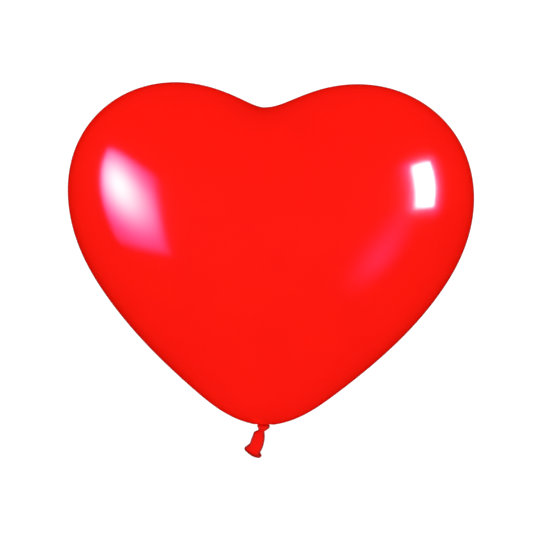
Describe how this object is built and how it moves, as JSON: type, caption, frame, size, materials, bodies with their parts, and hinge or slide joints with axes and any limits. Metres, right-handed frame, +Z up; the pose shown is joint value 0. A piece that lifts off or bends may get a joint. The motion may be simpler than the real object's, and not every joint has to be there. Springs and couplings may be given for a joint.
{
  "type": "heart-shaped latex balloon",
  "caption": "Inflated heart-shaped latex balloon, tied off in its own neck, with a knot and a short flared tail that bend at the stem.",
  "frame": {"origin": "inside the gathered neck stem, between the film and the knot, where a ribbon or a holder takes the balloon", "axes": "+Z up from the knot to the cleft of the heart, +X to the wider right lobe, +Y to the back"},
  "size_m": [0.3005, 0.1852, 0.278],
  "materials": {
    "latex_film": "glossy, stretched thin",
    "latex_neck": "glossy, gathered",
    "latex_knot": "satin, unstretched",
    "latex_tail": "satin, unstretched",
    "latex_lip": "satin, rolled bead"
  },
  "bodies": {
    "balloon": {"envelope": "latex_film", "neck": "latex_neck"},
    "knot": {"knot": "latex_knot"},
    "tail": {"tail_sleeve": "latex_tail", "rolled_lip": "latex_lip"}
  },
  "joints": [
    {"name": "knot_sway", "type": "hinge", "parent": "balloon", "child": "knot", "pos_m": [0, 0, -0.0066], "axis": [0, 1, 0], "range_deg": [-45, 20], "stiffness_Nm_per_rad": 0.002},
    {"name": "tail_nod", "type": "hinge", "parent": "knot", "child": "tail", "pos_m": [0, 0, -0.0066], "axis": [1, 0, 0], "range_deg": [-50, 25], "stiffness_Nm_per_rad": 0.002}
  ]
}
